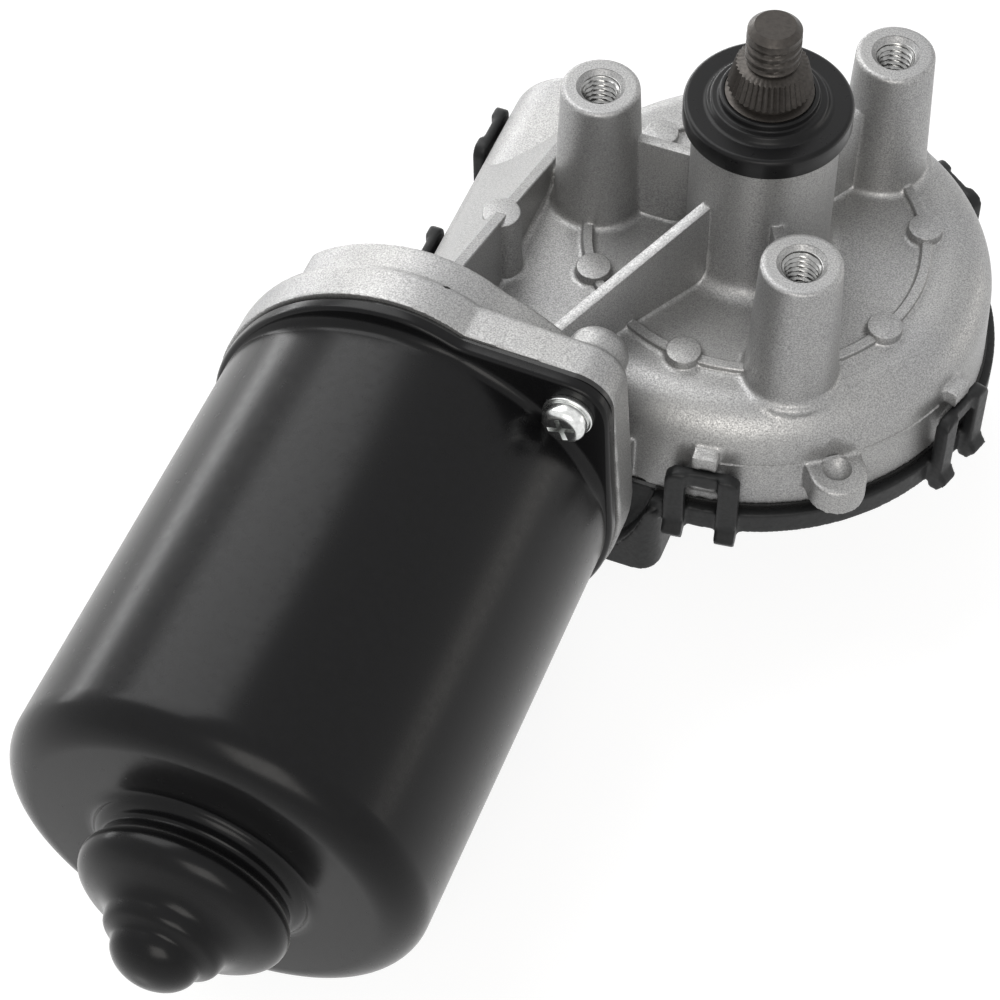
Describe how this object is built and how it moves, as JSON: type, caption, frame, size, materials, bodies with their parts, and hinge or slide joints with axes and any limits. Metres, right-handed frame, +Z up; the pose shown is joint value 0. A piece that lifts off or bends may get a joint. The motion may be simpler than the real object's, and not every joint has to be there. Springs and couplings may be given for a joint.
{
  "type": "wiper motor",
  "caption": "Geared wiper motor: round black can, die-cast worm gearbox with tall threaded mounting bosses, and an upright serrated output shaft ending in a threaded stud.",
  "frame": {"origin": "where the output axis crosses the plane of the three boss tops, the face that bolts to the vehicle bracket", "axes": "+Z up the output shaft towards the stud, -Y towards the nose of the motor can, +X to the right with the stud up and the can towards the viewer"},
  "size_m": [0.111, 0.1825, 0.0931],
  "materials": {
    "cast_aluminium": "shot-blasted die casting, fine grey grain",
    "black_can_paint": "semi-gloss black paint on drawn steel",
    "gasket_rubber": "black rubber, slightly glossy",
    "zinc_steel": "bright zinc plate",
    "ferrite": "dark grey sintered ferrite",
    "spring_steel": "bright spring strip",
    "sintered_bronze": "porous oiled bronze",
    "ground_steel": "ground and rolled steel",
    "oxide_steel": "dark oxide, satin",
    "lamination_steel": "stacked laminations",
    "white_plastic": "natural acetal",
    "insulator_plastic": "green pressed insulator",
    "copper_wire": "enamelled copper wire",
    "copper": "bare copper",
    "phenolic": "brown phenolic board",
    "brass_strip": "stamped brass",
    "carbon": "copper-graphite brush",
    "black_plastic": "black glass-filled plastic, fine moulded grain",
    "cap_plastic": "satin black moulded cap"
  },
  "bodies": {
    "casing": {"gear_housing": "cast_aluminium", "motor_can": "black_can_paint", "can_seal": "gasket_rubber", "can_screws": "zinc_steel", "can_screw_washers": "zinc_steel", "magnets": "ferrite", "magnet_clips": "spring_steel", "rear_bush": "sintered_bronze", "rear_bush_retainer": "spring_steel", "rear_thrust_pad": "white_plastic", "front_bearing_outer_race": "ground_steel", "front_bearing_balls": "ground_steel", "front_bearing_cage": "brass_strip", "bearing_washer": "spring_steel", "worm_end_bush": "sintered_bronze", "tail_thrust_pad": "white_plastic", "thrust_screw": "zinc_steel", "brush_plate": "phenolic", "brush_holders": "brass_strip", "brushes": "carbon", "brush_springs": "spring_steel", "choke_cores": "ferrite", "choke_coils": "copper_wire", "circuit_breaker": "white_plastic", "output_bush_upper": "sintered_bronze", "output_bush_lower": "sintered_bronze", "shaft_seal_ring": "gasket_rubber", "shaft_washer": "spring_steel", "shaft_cap": "cap_plastic", "gear_cover": "black_plastic", "cover_seal": "gasket_rubber", "connector_terminals": "brass_strip", "park_contact_springs": "brass_strip"},
    "armature": {"armature_shaft": "ground_steel", "armature_core": "lamination_steel", "end_insulators": "insulator_plastic", "armature_windings": "copper_wire", "commutator_hub": "phenolic", "commutator_bars": "copper", "front_bearing_inner_race": "ground_steel", "shaft_collar": "ground_steel"},
    "output": {"output_shaft": "oxide_steel", "worm_wheel": "white_plastic", "wheel_hub": "ground_steel", "wave_washer": "spring_steel", "park_contact_plate": "copper", "shaft_circlip": "spring_steel"}
  },
  "joints": [
    {"name": "armature_spin", "type": "hinge", "parent": "casing", "child": "armature", "pos_m": [-0.03675, 0, -0.0364], "axis": [0, 1, 0], "continuous": true},
    {"name": "output_spin", "type": "hinge", "parent": "casing", "child": "output", "pos_m": [0, 0, 0], "axis": [0, 0, 1], "continuous": true}
  ],
  "couplings": [
    {"joint": "output_spin", "follows": "armature_spin", "ratio": 0.015873}
  ]
}
